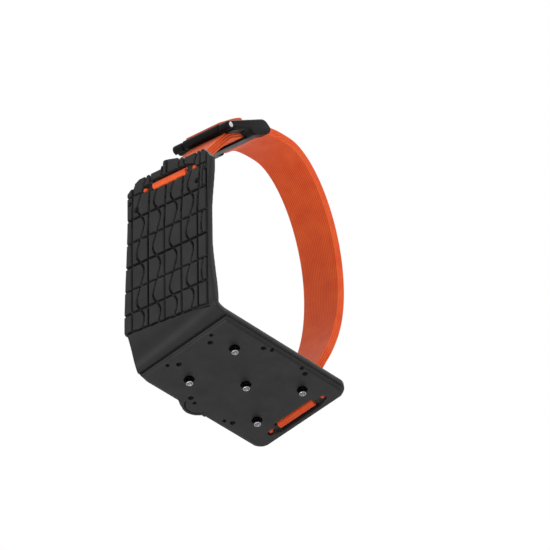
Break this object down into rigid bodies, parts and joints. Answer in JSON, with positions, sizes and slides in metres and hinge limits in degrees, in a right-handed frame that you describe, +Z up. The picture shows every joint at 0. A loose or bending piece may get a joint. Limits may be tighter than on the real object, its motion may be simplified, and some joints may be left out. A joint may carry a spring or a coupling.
{
  "type": "mid-sole ice cleat",
  "caption": "Strap-on mid-sole ice cleat: studded sole pad with a treaded rubber side flap, an elastic instep strap and a cam-lever buckle.",
  "frame": {"origin": "middle of the pad's upper face, where the shoe's sole rests, above the middle stud", "axes": "+X towards the toe, +Z up, -Y towards the flap; the stud tips point along -Z"},
  "size_m": [0.0738, 0.107, 0.1339],
  "materials": {
    "rubber": "matte",
    "sole_plate": "satin",
    "stud_steel": "satin",
    "carbide": "satin",
    "elastic": "satin",
    "anchor": "satin",
    "buckle": "satin",
    "pin_steel": "satin",
    "lever_cover": "satin"
  },
  "bodies": {
    "sole": {"rubber_body": "rubber", "stud_plate": "sole_plate", "stud_1": "stud_steel", "stud_2": "stud_steel", "stud_3": "stud_steel", "stud_4": "stud_steel", "stud_5": "stud_steel", "stud_tip_1": "carbide", "stud_tip_2": "carbide", "stud_tip_3": "carbide", "stud_tip_4": "carbide", "stud_tip_5": "carbide", "lower_anchor_bar": "anchor", "upper_anchor_bar": "anchor", "upper_strap_outer": "elastic", "upper_strap_inner": "elastic", "lower_strap_outer": "elastic", "lower_strap_inner": "elastic", "buckle_frame": "buckle", "pivot_pin": "pin_steel"},
    "lever": {"buckle_lever": "buckle", "lever_cover": "lever_cover"}
  },
  "joints": [
    {"name": "lever_pivot", "type": "hinge", "parent": "sole", "child": "lever", "pos_m": [0.02298, -0.0356, 0.1045], "axis": [0.9767, 0, -0.2147], "range_deg": [0, 70], "stiffness_Nm_per_rad": 0.004}
  ]
}
